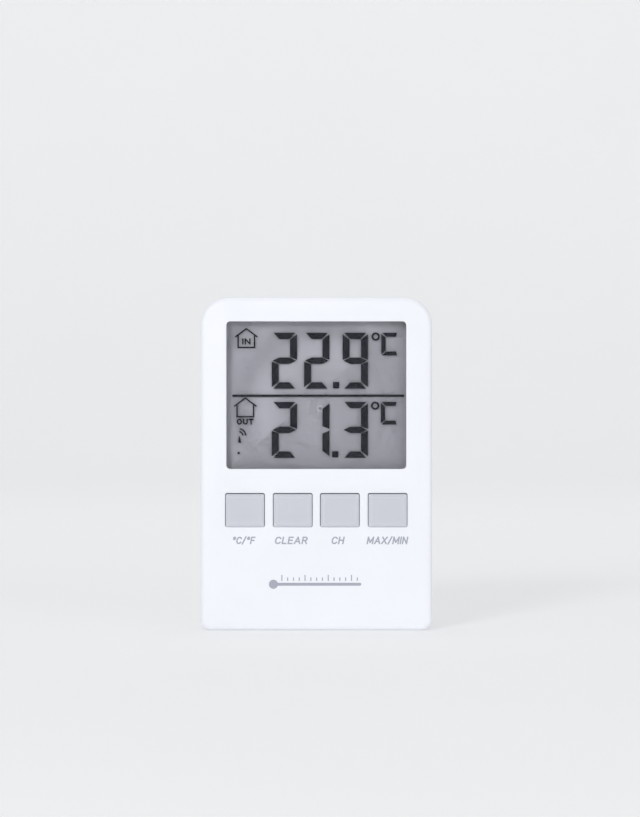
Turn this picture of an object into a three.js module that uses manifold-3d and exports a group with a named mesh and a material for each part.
// A digital maximum minimum thermometer: the base unit of a wireless indoor and outdoor pair.
// Units are millimetres. Every piece is drawn in the front-view frame: x to the right, y up, z out of
// the front face, which lies at z = 0, so that depths in the case are negative. The last lines turn
// that frame so that the case stands on its flat bottom with +Z up and its front facing -Y.

import * as THREE from "three";
import { mergeVertices } from "three/addons/utils/BufferGeometryUtils.js";
import Module from "manifold-3d";

const wasm = await Module();
wasm.setup();

// ---- Driving dimensions ------------------------------------------------------------------------

const caseSize = { width: 66, height: 95, depth: 21 };
const corner = { top: 8, bottom: 3 };
const edgeRound = 1.6; // fillet round the front and the back face
const wall = 1.8;
const faceWall = 2;
const split = -9; // parting plane between the covers
const play = 0.15; // clearance between parts that slide into each other
const back = -caseSize.depth;
const backWall = back + wall; // inner side of the back wall
const bite = 0.4; // how far a feature sinks into the wall that it grows from
const beyond = 1; // how far a cutting tool runs past the face that it opens

const windowHole = { x: 25.6, y0: 46, y1: 88, corner: 1.1 };
const lens = { x: 26.9, y0: 44.7, y1: 89.3, corner: 1.5, thickness: 1, lip: 1, tape: 0.15 };

const key = { width: 10.9, height: 9.3, corner: 0.5, bevel: 0.45, proud: 0.8, gap: 0.35 };
const keyRowY = 34.2;
const keyCentres = [-20.3, -6.7, 6.7, 20.3];
const flange = { rim: 0.85, front: -2.3, back: -3.3 };

// The layers behind the face wall: each depth is worked out from the layer before it.
const tapeFront = -lens.lip;
const lensFront = tapeFront - lens.tape;
const lensBack = lensFront - lens.thickness;
const polarizerFront = lensBack - 0.35;
const glassFront = polarizerFront - 0.2;
const glassMiddle = glassFront - 0.7;
const glassBack = glassMiddle - 0.7;
const reflectorBack = glassBack - 0.3;
const boardFront = -5.9;
const boardBack = boardFront - 1.2;

const tongueRim = { root: 3, reach: 0.8, thickness: 0.7 }; // slides inside the front cover's wall

const display = { x: 26.8, filmX: 26.4, top: 90, ledge: 41.5, bottom: 44.5, film: [45.2, 89] };
const holder = { bottom: 40.4, top: 91, rim: 0.85, front: -2.3, opening: { x: 21, y: [50, 84] } };
const zebra = { x: 25, y0: 41.9, y1: 43.9, room: 0.3 };

const caseScrew = { x: 29.2, rows: [7, 84], shank: 0.85, length: 8.6, head: 1.7, headHeight: 1.3 };
const caseScrewSeat = -12;
const screwTube = { radius: 2.7, nose: 1.85, noseEnd: split + 1.2, bore: 1.15, counterbore: 2 };
const boss = { radius: 2.1, end: split + 1.4, pilotEnd: -3 };
const boardScrew = { x: 29, rows: [26.6, 62], shank: 0.8, length: 3.2, head: 1.5, headHeight: 0.9 };
const post = { radius: 1.8, pilotEnd: -2.6 };
const pilotPlay = 0.25; // radial clearance of a screw in its pilot hole

const bay = { x: 25.2, y0: 52.2, y1: 77.2, floor: -8.4, wall: 1 };
const door = { x: 25.9, y0: 52.4, y1: 77, corner: 0.6, thickness: 1.5, sunk: 0.2, gap: 0.2 };
const doorGrip = { halfWidth: 6, y: 68.6 };
const doorPivot = { y: 52.3, z: back };
const doorTab = { x0: 10, x1: 16, tip: 51, root: 53.6, depth: -17.9, room: 0.5 };
const latch = { x: 5, inner: 74.8, outer: 76.6, leaf: 0.7, depth: -17.4, bend: 0.6, room: 0.3 };
const cell = { radius: 5.15, length: 44.5, nubRadius: 1.9, nubLength: 1.2, z: -13.7 };
const [lowerRow, upperRow] = [58.4, 70];
const contact = { thickness: 0.4, halfHeight: 4.2, z0: -17.2, z1: -10.2, wire: 0.3, reach: 5 };
const tag = { halfHeight: 1.2, out: 1.4, z0: -10.6, z1: -10.2 };

const recess = { x: 18, y0: 1.8, y1: 49.6, floor: -17.6, wall: 1.3 };
const stand = { x: 17.6, tip: 3.2, pivotY: 46.6, pivotZ: -19.3, thickness: 2.2, sunk: 0.1, corner: 3 };
const standRib = { middles: [-13, -4.5, 4.5, 13], halfWidth: 0.6, height: 0.8, start: 6.2 };
const standGrip = { halfWidth: 8, y: 6 };
const standSocket = { x: 20.8, halfHeight: 2.4, front: -16.6 };
const standHeel = { x: 12, height: 2.25, thickness: 2 };
const standPin = { radius: 1, hole: 1.2, reach: 1.6 };
const fingerNotch = 7; // half width of the notch that lets a fingertip pull the stand out

const keyhole = { entryY: 83.2, entry: 3.8, slotY: 88.2, slot: 2.1 };
const hangerPocket = { x: 5, y0: 79.2, y1: 92, floor: -14, wall: 1 };
const vents = { count: 5, pitch: 2.6, height: 1.2, x0: 21.3, x1: 28.3, y0: 14 };
const groove = { pitch: 2, width: 1, depth: 0.4 };

const sides = [-1, 1];
const arcSteps = 6; // straight pieces in a quarter of a large arc
const smallArc = 3; // the same for a small corner
const roundSteps = 12; // straight pieces in a full small circle
const pivotSteps = 24; // the same for the stand's knuckle

// ---- Materials ---------------------------------------------------------------------------------

function material(color, roughness, metalness = 0, opacity = 1) {
  const transparent = opacity < 1;
  return new THREE.MeshStandardMaterial({ color, roughness, metalness, opacity, transparent });
}

const finish = {
  whiteCase: material(0xf6f8fb, 0.42),
  greyKey: material(0xcdd0da, 0.5),
  clearLens: material(0xf2f5f7, 0.05, 0, 0.25),
  adhesive: material(0x2a2a2c, 0.8),
  glass: material(0xdfe8e6, 0.05, 0, 0.35),
  polarizer: material(0xa2a6a8, 0.3, 0, 0.5),
  reflector: material(0x94979e, 0.55),
  holder: material(0xe9e9e6, 0.5),
  conductiveRubber: material(0x4a4a50, 0.8),
  circuitBoard: material(0x1f6b3c, 0.45),
  resin: material(0x101012, 0.35),
  silicone: material(0xd8dadd, 0.7),
  carbon: material(0x18181a, 0.9),
  tin: material(0xc9ccd0, 0.3, 1),
  nickel: material(0xb9bcc0, 0.28, 1),
  steel: material(0x8c9095, 0.35, 1),
  copper: material(0xb87447, 0.3, 1),
  capacitorSleeve: material(0x1c2f5c, 0.4),
  cellSleeve: material(0x33363c, 0.35),
  redWire: material(0xc02a26, 0.5),
  blackWire: material(0x151517, 0.5),
};

// ---- Solids: closed three.js geometries that can be joined and cut -----------------------------

function solidOf(geometry) {
  const bare = geometry.clone();
  bare.deleteAttribute("normal");
  bare.deleteAttribute("uv");
  const merged = mergeVertices(bare, 1e-4);
  const mesh = new wasm.Mesh({
    numProp: 3,
    vertProperties: merged.attributes.position.array,
    triVerts: new Uint32Array(merged.index.array),
  });
  return new wasm.Manifold(mesh);
}

function geometryOf(solid) {
  const mesh = solid.getMesh();
  const geometry = new THREE.BufferGeometry();
  geometry.setAttribute("position", new THREE.BufferAttribute(mesh.vertProperties, 3));
  geometry.setIndex(new THREE.BufferAttribute(mesh.triVerts, 1));
  const facets = geometry.toNonIndexed();
  facets.computeVertexNormals();
  return facets;
}

const join = (first, ...others) => others.reduce((sum, other) => sum.add(other), first);
const cut = (body, ...tools) => tools.reduce((rest, tool) => rest.subtract(tool), body);

// The span from a to b on one side of the middle plane, lowest value first.
const sideSpan = (side, a, b) => [side * a, side * b].sort((p, q) => p - q);

function box([x0, x1], [y0, y1], [z0, z1]) {
  const geometry = new THREE.BoxGeometry(x1 - x0, y1 - y0, z1 - z0);
  return solidOf(geometry.translate((x0 + x1) / 2, (y0 + y1) / 2, (z0 + z1) / 2));
}

function rod(x, y, radius, [z0, z1], steps = roundSteps) {
  const geometry = new THREE.CylinderGeometry(radius, radius, z1 - z0, steps);
  return solidOf(geometry.rotateX(Math.PI / 2).translate(x, y, (z0 + z1) / 2));
}

// A round bar along x, centred on x = 0.
function axle(halfLength, y, z, radius, steps = roundSteps) {
  const geometry = new THREE.CylinderGeometry(radius, radius, 2 * halfLength, steps);
  return solidOf(geometry.rotateZ(Math.PI / 2).translate(0, y, z));
}

// A rectangle with one radius for its upper corners and one for its lower corners.
function roundedRectangle([x0, x1], [y0, y1], upper, lower = upper) {
  const shape = new THREE.Shape();
  const quarter = Math.PI / 2;
  shape.absarc(x1 - upper, y1 - upper, upper, 0, quarter, false);
  shape.absarc(x0 + upper, y1 - upper, upper, quarter, 2 * quarter, false);
  shape.absarc(x0 + lower, y0 + lower, lower, 2 * quarter, 3 * quarter, false);
  shape.absarc(x1 - lower, y0 + lower, lower, 3 * quarter, 4 * quarter, false);
  shape.closePath();
  return shape;
}

function caseOutline(inset) {
  const half = caseSize.width / 2 - inset;
  const rows = [inset, caseSize.height - inset];
  return roundedRectangle([-half, half], rows, corner.top - inset, corner.bottom - inset);
}

function slab(shape, [z0, z1], curveSegments = arcSteps) {
  const options = { depth: z1 - z0, bevelEnabled: false, curveSegments };
  return solidOf(new THREE.ExtrudeGeometry(shape, options).translate(0, 0, z0));
}

// A slab whose front and back edges are rounded over.
function softSlab(shape, [z0, z1], round, bevelSegments, curveSegments = arcSteps) {
  const options = {
    depth: z1 - z0 - 2 * round,
    bevelThickness: round,
    bevelSize: round,
    bevelOffset: -round,
    bevelSegments,
    curveSegments,
  };
  return solidOf(new THREE.ExtrudeGeometry(shape, options).translate(0, 0, z0 + round));
}

// A flat plate with small rounded corners.
function sheet(spanX, spanY, spanZ, radius = 0.2) {
  return slab(roundedRectangle(spanX, spanY, radius), spanZ, smallArc);
}

// A body of revolution about the y axis, from [radius, y] pairs that start and end on the axis.
function turned(profile, steps = roundSteps) {
  const points = profile.map(([radius, y]) => new THREE.Vector2(radius, y));
  return new THREE.LatheGeometry(points, steps);
}

// Round wire along a curve.
function wire(curve, radius, steps, facets = 6) {
  const section = new THREE.Shape();
  for (let i = 0; i < facets; i += 1) {
    const angle = (2 * Math.PI * i) / facets;
    const point = [radius * Math.cos(angle), radius * Math.sin(angle)];
    if (i === 0) section.moveTo(...point);
    else section.lineTo(...point);
  }
  section.closePath();
  return solidOf(new THREE.ExtrudeGeometry(section, { steps, extrudePath: curve }));
}

function smoothPath(points) {
  return new THREE.CatmullRomCurve3(points.map((point) => new THREE.Vector3(...point)));
}

// A helix about the x axis whose radius changes evenly from one end to the other.
class Helix extends THREE.Curve {
  constructor([x0, x1], [radius0, radius1], turns) {
    super();
    Object.assign(this, { x0, x1, radius0, radius1, turns });
  }

  getPoint(t, target = new THREE.Vector3()) {
    const angle = 2 * Math.PI * this.turns * t;
    const radius = THREE.MathUtils.lerp(this.radius0, this.radius1, t);
    const x = THREE.MathUtils.lerp(this.x0, this.x1, t);
    return target.set(x, radius * Math.cos(angle), radius * Math.sin(angle));
  }
}

// ---- Scene graph -------------------------------------------------------------------------------

const thermometer = new THREE.Group();

function group(x, y, z) {
  const place = new THREE.Group();
  place.position.set(x, y, z);
  thermometer.add(place);
  return place;
}

function addPart(name, solid, look, parent = thermometer) {
  const mesh = new THREE.Mesh(geometryOf(solid), look);
  mesh.name = name;
  parent.add(mesh);
}

// Adds a piece that turns about the x direction through (y, z), as a child of a group on that axis.
function addHinged(name, solid, look, y, z) {
  addPart(name, solid.translate([0, -y, -z]), look, group(0, y, z));
}

function atFour(fastener, make) {
  return fastener.rows.flatMap((y) => sides.map((side) => make(side * fastener.x, y, side)));
}

// ---- Covers ------------------------------------------------------------------------------------

const caseBlock = softSlab(caseOutline(0), [back, 0], edgeRound, 3);
const acrossAll = [-caseSize.width, caseSize.width];
const upAll = [-beyond, caseSize.height + beyond];
const throughFace = [-faceWall - beyond, beyond];
const throughBack = [back - beyond, backWall + beyond];

function keyOpening(x) {
  const halfWidth = key.width / 2 + key.gap;
  const halfHeight = key.height / 2 + key.gap;
  const spanX = [x - halfWidth, x + halfWidth];
  const spanY = [keyRowY - halfHeight, keyRowY + halfHeight];
  return sheet(spanX, spanY, throughFace, key.corner + key.gap);
}

function frontCover() {
  const shell = cut(
    caseBlock,
    box(acrossAll, upAll, [back - beyond, split]),
    slab(caseOutline(wall), [split - beyond, -faceWall]),
  );
  const rooted = -faceWall + bite / 2;
  const bosses = atFour(caseScrew, (x, y, side) => {
    const web = sideSpan(side, caseScrew.x + 1, caseSize.width / 2 - wall + bite);
    const span = [boss.end, rooted];
    return join(rod(x, y, boss.radius, span), box(web, [y - 1, y + 1], span));
  });
  const posts = atFour(boardScrew, (x, y) => rod(x, y, post.radius, [boardFront, rooted]));
  const pilots = atFour(caseScrew, (x, y) =>
    rod(x, y, caseScrew.shank + pilotPlay, [split, boss.pilotEnd]),
  );
  const postPilots = atFour(boardScrew, (x, y) =>
    rod(x, y, boardScrew.shank + pilotPlay, [split, post.pilotEnd]),
  );
  const view = sheet(
    [-windowHole.x, windowHole.x],
    [windowHole.y0, windowHole.y1],
    throughFace,
    windowHole.corner,
  );
  const lensSeat = sheet(
    [-lens.x - play, lens.x + play],
    [lens.y0 - play, lens.y1 + play],
    [-faceWall - beyond, tapeFront],
    lens.corner + play,
  );
  const openings = [...keyCentres.map(keyOpening), view, lensSeat];
  return cut(join(shell, ...bosses, ...posts), ...pilots, ...postPilots, ...openings);
}

// A block round a hollow that opens at the back. The hollow itself is cut later.
function tray(hollow) {
  const block = box(
    [-hollow.x - hollow.wall, hollow.x + hollow.wall],
    [hollow.y0 - hollow.wall, hollow.y1 + hollow.wall],
    [backWall - bite, hollow.floor + hollow.wall],
  );
  return block.intersect(slab(caseOutline(wall / 2), [back, 0]));
}

const hollowOf = (hollow, mouth = back - beyond) =>
  box([-hollow.x, hollow.x], [hollow.y0, hollow.y1], [mouth, hollow.floor]);

// A thin rim on the rear cover that slides inside the front cover's wall.
function tongue() {
  const { root, reach, thickness } = tongueRim;
  const ring = join(
    slab(caseOutline(wall + play), [split - root, split + reach]),
    slab(caseOutline(wall - bite), [split - root, split - reach]),
  );
  const inside = caseOutline(wall + play + thickness);
  return ring.subtract(slab(inside, [split - root - beyond, split + beyond]));
}

function hangerHole() {
  const { entryY, entry, slotY, slot } = keyhole;
  return [
    rod(0, entryY, entry, throughBack, pivotSteps),
    rod(0, slotY, slot, throughBack),
    box([-slot, slot], [entryY, slotY], throughBack),
  ];
}

function ventSlots() {
  return sides.flatMap((side) =>
    Array.from({ length: vents.count }, (_, i) => {
      const y = vents.y0 + vents.pitch * i;
      return box(sideSpan(side, vents.x0, vents.x1), [y, y + vents.height], throughBack);
    }),
  );
}

// Pockets under the lower edge of the door opening, where the door's two tabs turn.
function tabPockets() {
  return sides.map((side) => {
    const spanX = sideSpan(side, doorTab.x0 - doorTab.room, doorTab.x1 + doorTab.room);
    const spanY = [doorTab.tip - doorTab.room, bay.y0 + beyond];
    return box(spanX, spanY, [backWall, doorTab.depth + 2 * doorTab.room]);
  });
}

function tagSlots() {
  const spanX = [-bay.x - bay.wall - beyond, -bay.x + play];
  return [lowerRow, upperRow].map((y) =>
    box(spanX, [y - tag.halfHeight - play, y + tag.halfHeight + play], [tag.z0 - play, tag.z1 + play]),
  );
}

function rearCover() {
  const shell = cut(
    caseBlock,
    box(acrossAll, upAll, [split, beyond]),
    slab(caseOutline(wall), [backWall, split + beyond]),
  );
  const tubes = atFour(caseScrew, (x, y) =>
    join(
      rod(x, y, screwTube.radius, [backWall - bite, split - play]),
      rod(x, y, screwTube.nose, [split - 1, screwTube.noseEnd]),
    ),
  );
  const sockets = sides.map((side) =>
    box(
      sideSpan(side, recess.x + bite, standSocket.x),
      [stand.pivotY - standSocket.halfHeight, stand.pivotY + standSocket.halfHeight],
      [backWall - bite, standSocket.front],
    ),
  );
  const trays = [bay, recess, hangerPocket].map(tray);
  const hollows = [
    hollowOf(bay),
    hollowOf({ ...bay, x: door.x + door.gap, floor: backWall }),
    hollowOf(recess),
    hollowOf({ x: fingerNotch, y0: -beyond, y1: stand.tip, floor: recess.floor }),
    hollowOf(hangerPocket, backWall),
    axle(recess.x + standPin.reach + bite, stand.pivotY, stand.pivotZ, standPin.hole),
  ];
  const screwHoles = atFour(caseScrew, (x, y) =>
    join(
      rod(x, y, screwTube.counterbore, [back - beyond, caseScrewSeat]),
      rod(x, y, screwTube.bore, [caseScrewSeat - bite, 0]),
    ),
  );
  const solid = join(shell, tongue(), ...tubes, ...trays, ...sockets);
  const small = [...hangerHole(), ...ventSlots(), ...tabPockets(), ...tagSlots()];
  return cut(solid, ...hollows, ...screwHoles, ...small);
}

addPart("front_cover", frontCover(), finish.whiteCase);
addPart("rear_cover", rearCover(), finish.whiteCase);

// ---- Battery door and stand --------------------------------------------------------------------

// Three finger grooves across an outer face, from y upwards.
function gripGrooves(halfWidth, y, face) {
  return [0, 1, 2].map((i) => {
    const start = y + groove.pitch * i;
    return box([-halfWidth, halfWidth], [start, start + groove.width], [face - beyond, face + groove.depth]);
  });
}

// Two tabs hook under the case at the lower edge and a sprung tongue holds the upper edge.
function batteryDoor() {
  const outer = back + door.sunk;
  const inner = outer + door.thickness;
  const outline = roundedRectangle([-door.x, door.x], [door.y0, door.y1], door.corner);
  const plate = slab(outline, [outer, inner], smallArc);
  const tabs = sides.flatMap((side) => {
    const spanX = sideSpan(side, doorTab.x0, doorTab.x1);
    return [
      box(spanX, [door.y0 + play, doorTab.root], [inner - bite / 2, doorTab.depth]),
      box(spanX, [doorTab.tip, door.y0 + bite], [backWall + door.gap, doorTab.depth]),
    ];
  });
  const latchX = [-latch.x, latch.x];
  const latchRoom = box(
    [-latch.x - latch.room, latch.x + latch.room],
    [latch.inner + latch.leaf, door.y1 + beyond],
    [outer - beyond, inner + beyond],
  );
  const latchLeaves = [
    box(latchX, [latch.inner, latch.inner + latch.leaf], [inner - bite / 2, latch.depth]),
    box(latchX, [latch.inner, latch.outer], [latch.depth - latch.bend, latch.depth]),
    box(latchX, [latch.outer - latch.leaf, latch.outer], [outer, latch.depth]),
  ];
  const grooves = gripGrooves(doorGrip.halfWidth, doorGrip.y, outer);
  return join(cut(plate, latchRoom, ...grooves), ...tabs, ...latchLeaves);
}

// A ribbed plate on two pins, with a heel that meets the floor of the recess when it is fully open.
function standLeg() {
  const outer = back + stand.sunk;
  const inner = outer + stand.thickness;
  const { x, tip, pivotY, pivotZ } = stand;
  const outline = roundedRectangle([-x, x], [tip, pivotY], 0.1, stand.corner);
  const plate = slab(outline, [outer, inner], smallArc);
  const knuckle = axle(x, pivotY, pivotZ, pivotZ - outer, pivotSteps);
  const heelSpan = [outer, outer + standHeel.thickness];
  const heel = box([-standHeel.x, standHeel.x], [pivotY, pivotY + standHeel.height], heelSpan);
  const ribs = standRib.middles.map((middle) =>
    box(
      [middle - standRib.halfWidth, middle + standRib.halfWidth],
      [standRib.start, pivotY],
      [inner - bite / 2, inner + standRib.height],
    ),
  );
  const pins = axle(x + standPin.reach, pivotY, pivotZ, standPin.radius);
  const grooves = gripGrooves(standGrip.halfWidth, standGrip.y, outer);
  return cut(join(plate, knuckle, heel, pins, ...ribs), ...grooves);
}

addHinged("battery_door", batteryDoor(), finish.whiteCase, doorPivot.y, doorPivot.z);
addHinged("stand", standLeg(), finish.whiteCase, stand.pivotY, stand.pivotZ);

// ---- Window and display ------------------------------------------------------------------------

const lensX = [-lens.x, lens.x];
const lensY = [lens.y0, lens.y1];
const filmX = [-display.filmX, display.filmX];
const glassX = [-display.x, display.x];

function lensTape() {
  const frame = sheet(lensX, lensY, [lensFront, tapeFront], lens.corner);
  const hidden = 0.1; // the tape keeps behind the lip by this much
  const hole = sheet(
    [-windowHole.x - hidden, windowHole.x + hidden],
    [windowHole.y0 - hidden, windowHole.y1 + hidden],
    [lensBack, 0],
    windowHole.corner,
  );
  return cut(frame, hole);
}

// A frame that sits on the board and carries the glass, with a slot for the zebra strip.
function displayHolder() {
  const { bottom, top, rim, front, opening } = holder;
  const plate = box(glassX, [bottom, top], [boardFront, reflectorBack - play / 2]);
  const rims = [[bottom, bottom + rim], [top - rim, top]].map((spanY) =>
    box(glassX, spanY, [boardFront, front]),
  );
  const middle = box([-opening.x, opening.x], opening.y, [boardFront - beyond, 0]);
  const slot = box(
    [-zebra.x - zebra.room, zebra.x + zebra.room],
    [zebra.y0 - zebra.room, zebra.y1 + zebra.room],
    [boardFront - beyond, reflectorBack + bite],
  );
  return cut(join(plate, ...rims), middle, slot);
}

const frontGlass = sheet(glassX, [display.ledge, display.top], [glassMiddle, glassFront]);
const rearGlass = sheet(glassX, [display.bottom, display.top], [glassBack, glassMiddle]);
const zebraStrip = box([-zebra.x, zebra.x], [zebra.y0, zebra.y1], [boardFront, glassMiddle]);

addPart("lens_tape", lensTape(), finish.adhesive);
addPart("window_lens", sheet(lensX, lensY, [lensBack, lensFront], lens.corner), finish.clearLens);
addPart("lcd_front_polarizer", sheet(filmX, display.film, [glassFront, polarizerFront]), finish.polarizer);
addPart("lcd_front_glass", frontGlass, finish.glass);
addPart("lcd_rear_glass", rearGlass, finish.glass);
addPart("lcd_reflector", sheet(filmX, display.film, [reflectorBack, glassBack]), finish.reflector);
addPart("lcd_holder", displayHolder(), finish.holder);
addPart("zebra_strip", zebraStrip, finish.conductiveRubber);

// ---- Keys: a rubber sheet with four domes, four hard caps on it, and a carbon pill in each dome --

const keypad = { x: 26.9, y0: 28, y1: 40.1, thickness: 0.8 };
const dome = { boss: 2, top: 2.6, inner: 3.4, outer: 4.2, roof: 0.6 };
const pill = { radius: 1.6, back: -5, front: -4.7 };

function rubberKeypad() {
  const sheetFront = boardFront + keypad.thickness;
  const profile = [
    [0, pill.front],
    [dome.boss, pill.front],
    [dome.boss, pill.front + dome.roof],
    [dome.inner, sheetFront - bite / 2],
    [dome.inner, boardFront],
    [dome.outer, boardFront],
    [dome.outer, sheetFront],
    [dome.top, flange.back - dome.roof],
    [dome.top, flange.back],
    [0, flange.back],
  ];
  const domeSolid = solidOf(turned(profile).rotateX(Math.PI / 2));
  const mat = box([-keypad.x, keypad.x], [keypad.y0, keypad.y1], [boardFront, sheetFront]);
  const holeRadius = (dome.inner + dome.outer) / 2;
  const holes = keyCentres.map((x) =>
    rod(x, keyRowY, holeRadius, [boardFront - beyond, sheetFront + beyond]),
  );
  return join(cut(mat, ...holes), ...keyCentres.map((x) => domeSolid.translate([x, keyRowY, 0])));
}

function keyCap() {
  const [halfWidth, halfHeight] = [key.width / 2, key.height / 2];
  const face = roundedRectangle([-halfWidth, halfWidth], [-halfHeight, halfHeight], key.corner);
  const block = softSlab(face, [flange.back - beyond, key.proud], key.bevel, 2, smallArc);
  const rim = box(
    [-halfWidth - flange.rim, halfWidth + flange.rim],
    [-halfHeight - flange.rim, halfHeight + flange.rim],
    [flange.back, flange.front],
  );
  const below = box([-key.width, key.width], [-key.height, key.height], [2 * flange.back, flange.back]);
  return cut(join(block, rim), below);
}

addPart("rubber_keypad", rubberKeypad(), finish.silicone);
["unit", "clear", "channel", "max_min"].forEach((name, i) => {
  const place = group(keyCentres[i], keyRowY, 0);
  addPart(`key_${name}`, keyCap(), finish.greyKey, place);
  addPart(`contact_pill_${name}`, rod(0, 0, pill.radius, [pill.back, pill.front]), finish.carbon, place);
});

// ---- Main board and what is soldered to it -----------------------------------------------------

function mainBoard() {
  const [neck, ear] = [display.x, 30.8];
  const half = [
    [neck, 91],
    [neck, 64.6],
    [ear, 64.6],
    [ear, 59.4],
    [neck, 59.4],
    [neck, 41],
    [ear, 41],
    [ear, 24],
  ];
  const mirrored = half.map(([x, y]) => [-x, y]).reverse();
  const outline = new THREE.Shape([...half, ...mirrored].map(([x, y]) => new THREE.Vector2(x, y)));
  const holes = atFour(boardScrew, (x, y) =>
    rod(x, y, boardScrew.shank + pilotPlay, [boardBack - beyond, boardFront + beyond]),
  );
  return cut(slab(outline, [boardBack, boardFront]), ...holes);
}

// A flat drop of resin that hangs from z = 0.
function resinDrop(radius, height) {
  const steps = 4;
  const profile = [[0, 0], [radius, 0]];
  for (let i = 1; i < steps; i += 1) {
    const angle = (i / steps) * (Math.PI / 2);
    profile.push([radius * Math.cos(angle), height * Math.sin(angle)]);
  }
  profile.push([0, height]);
  return solidOf(turned(profile, 16).rotateX(-Math.PI / 2));
}

function canProfile(radius, height, shoulder) {
  return [[0, 0], [radius, 0], [radius, height - shoulder], [radius - shoulder, height], [0, height]];
}

function leadedBead() {
  const bead = solidOf(new THREE.SphereGeometry(1.2, 10, 6).scale(1, 1.35, 1));
  const legs = sides.map((side) => {
    const path = smoothPath([
      [side * 0.45, 0.6, 0],
      [side * 0.8, 3.2, 0.6],
      [side * 1.25, 6.2, 3],
      [side * 1.27, 7.2, 4.6],
    ]);
    return wire(path, 0.2, 6, 4);
  });
  return join(bead, ...legs);
}

const capacitor = solidOf(turned(canProfile(2.5, 6, 0.5)).rotateX(-Math.PI / 2));
const crystalTube = solidOf(turned(canProfile(1.1, 6.2, 0.2)).rotateZ(-Math.PI / 2));

addPart("main_board", mainBoard(), finish.circuitBoard);
addPart("controller_chip", resinDrop(6, 1.3), finish.resin, group(0, 43.6, boardBack));
addPart("filter_capacitor", capacitor, finish.capacitorSleeve, group(-17, 44.6, boardBack));
addPart("clock_crystal", crystalTube, finish.tin, group(9.5, 45.6, boardBack - 1.1));
addPart("thermistor", leadedBead(), finish.resin, group(24.6, 18.4, -12));

// ---- Receiver board, carried by a pin header on the main board ---------------------------------

const receiver = { x: [-24, 7], y: [25, 36], front: -10.2, back: -11 };
const header = { x: -14, y: 27, pins: [-2, -1, 0, 1, 2], pitch: 2.5, pin: 0.3 };
const coil = { length: 12, radius: 1.9, wire: 0.35, turns: 6, drop: 2.3 };

function pinHeader() {
  const bar = box([-6.3, 6.3], [-1.2, 1.2], [receiver.front, boardBack - 0.3]);
  const pins = header.pins.map((i) => {
    const x = header.pitch * i;
    const spanZ = [receiver.back - 0.8, boardBack];
    return box([x - header.pin, x + header.pin], [-header.pin, header.pin], spanZ);
  });
  return join(bar, ...pins);
}

function receiverBoard() {
  const board = box(receiver.x, receiver.y, [receiver.back, receiver.front]);
  const throughBoard = [receiver.back - beyond, receiver.front + beyond];
  const holes = header.pins.map((i) =>
    rod(header.x + header.pitch * i, header.y, 2 * header.pin, throughBoard, 8),
  );
  return cut(board, ...holes);
}

// A small chip in a two-row package, lying against z = 0.
function legPackage() {
  const body = box([-5, 5], [-1.95, 1.95], [-1.6, -0.15]);
  const legPitch = 1.27;
  const legs = [-3, -2, -1, 0, 1, 2, 3].map((i) =>
    box([legPitch * i - 0.2, legPitch * i + 0.2], [-3, 3], [-0.25, 0]),
  );
  return join(body, ...legs);
}

function antennaCoil() {
  const path = new Helix([0, coil.length], [coil.radius, coil.radius], coil.turns);
  const ends = [0, coil.length].map((x) =>
    box(
      [x - coil.wire, x + coil.wire],
      [coil.radius - coil.wire, coil.radius + coil.wire],
      [-coil.wire, coil.drop],
    ),
  );
  return join(wire(path, coil.wire, 9 * coil.turns, 5), ...ends);
}

const crystalCan = slab(roundedRectangle([-5, 5], [-1.9, 1.9], 1.8), [-3.4, 0], smallArc);

addPart("receiver_board", receiverBoard(), finish.circuitBoard);
addPart("receiver_pins", pinHeader(), finish.resin, group(header.x, header.y, 0));
addPart("receiver_chip", legPackage(), finish.resin, group(-16, 32.2, receiver.back));
addPart("receiver_crystal", crystalCan, finish.tin, group(-2.6, 27.6, receiver.back));
addPart("antenna_coil", antennaCoil(), finish.copper, group(-7, 32.8, receiver.back - coil.drop));

// ---- Batteries, contacts and leads -------------------------------------------------------------

// A cell along +x from its flat end at the origin to its button.
function batteryCell() {
  const { radius, length, nubRadius, nubLength } = cell;
  const shoulder = length - nubLength;
  const profile = [
    [0, 0],
    [radius - 0.6, 0],
    [radius, 0.5],
    [radius, shoulder - 0.6],
    [radius - 0.7, shoulder],
    [nubRadius, shoulder],
    [nubRadius, length - 0.2],
    [nubRadius - 0.3, length],
    [0, length],
  ];
  return solidOf(turned(profile, 20).rotateZ(-Math.PI / 2));
}

function contactPlate(side, y) {
  const spanX = sideSpan(side, bay.x - contact.thickness, bay.x);
  return box(spanX, [y - contact.halfHeight, y + contact.halfHeight], [contact.z0, contact.z1]);
}

function contactSpring(side, y) {
  const start = side * (bay.x - contact.thickness / 2);
  const path = new Helix([start, start - side * contact.reach], [3.4, 2.3], 4);
  return wire(path, contact.wire, 40, 5).translate([0, y, cell.z]);
}

function solderTag(y) {
  const spanX = [-bay.x - bay.wall - tag.out, -bay.x + contact.thickness];
  return box(spanX, [y - tag.halfHeight, y + tag.halfHeight], [tag.z0, tag.z1]);
}

const bridge = box(
  [bay.x - contact.thickness, bay.x],
  [lowerRow, upperRow],
  [contact.z1 - 2, contact.z1],
);
const springContact = join(contactPlate(-1, upperRow), contactSpring(-1, upperRow), solderTag(upperRow));
const flatContact = join(contactPlate(-1, lowerRow), solderTag(lowerRow));
const linkContact = join(
  contactPlate(1, upperRow),
  contactPlate(1, lowerRow),
  bridge,
  contactSpring(1, lowerRow),
);

const cellTip = bay.x - contact.thickness - 0.1;
const lowerPlace = group(cell.length - cellTip, lowerRow, cell.z);
lowerPlace.rotation.z = Math.PI;

addPart("battery_upper", batteryCell(), finish.cellSleeve, group(cellTip - cell.length, upperRow, cell.z));
addPart("battery_lower", batteryCell(), finish.cellSleeve, lowerPlace);
addPart("spring_contact", springContact, finish.nickel);
addPart("flat_contact", flatContact, finish.nickel);
addPart("link_contact", linkContact, finish.nickel);

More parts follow.
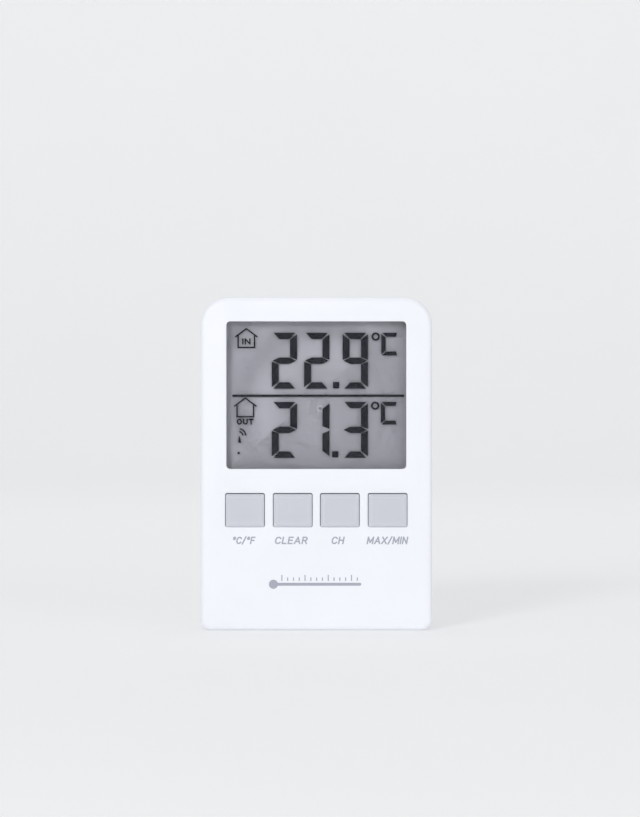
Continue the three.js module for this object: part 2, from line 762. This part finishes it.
const leadRadius = 0.5;
const leadStart = { x: -bay.x - bay.wall - 0.9, z: tag.z0 - 0.8 };
const leadEnd = boardBack - 0.3;

const blackPath = smoothPath([
  [leadStart.x, upperRow, leadStart.z],
  [leadStart.x - 0.6, upperRow - 2, -12.6],
  [-28.9, 64, -13.4],
  [-28.9, 52, -13.2],
  [-27.4, 46, -11.5],
  [-24.2, 44.4, -9],
  [-24, 44.3, leadEnd],
]);
const redPath = smoothPath([
  [leadStart.x, lowerRow, leadStart.z],
  [leadStart.x - 0.2, lowerRow - 1.6, -12],
  [-27.4, 53.4, -11.4],
  [-26.2, 49.4, -10.4],
  [-24.2, 48.3, -9],
  [-24, 48.2, leadEnd],
]);

addPart("black_lead", wire(blackPath, leadRadius, 18), finish.blackWire);
addPart("red_lead", wire(redPath, leadRadius, 18), finish.redWire);

// ---- Screws ------------------------------------------------------------------------------------

// A pan-head screw whose head rests on z = 0 with its shank along +z.
function screw({ shank, length, head, headHeight }) {
  const profile = [
    [0, -headHeight],
    [head - 0.4, -headHeight],
    [head, 0.4 - headHeight],
    [head, 0],
    [shank, 0],
    [shank, length - 0.8],
    [0.2, length],
    [0, length],
  ];
  const body = solidOf(turned(profile).rotateX(Math.PI / 2));
  const arm = [-0.65 * head, 0.65 * head];
  const slot = [-0.25, 0.25];
  const slotDepth = [-headHeight - beyond, 0.5 - headHeight];
  return cut(body, box(arm, slot, slotDepth), box(slot, arm, slotDepth));
}

function addScrews(fastener, seat, name) {
  atFour(fastener, (x, y, side) => {
    const row = y === fastener.rows[0] ? "lower" : "upper";
    const column = side < 0 ? "left" : "right";
    addPart(`${name}_${row}_${column}`, screw(fastener), finish.steel, group(x, y, seat));
  });
}

addScrews(caseScrew, caseScrewSeat, "case_screw");
addScrews(boardScrew, boardBack, "board_screw");

// The case stands on its bottom, with the origin under the middle of its depth, key tops included.
thermometer.rotation.x = Math.PI / 2;
thermometer.position.y = (key.proud - caseSize.depth) / 2;

export default thermometer;
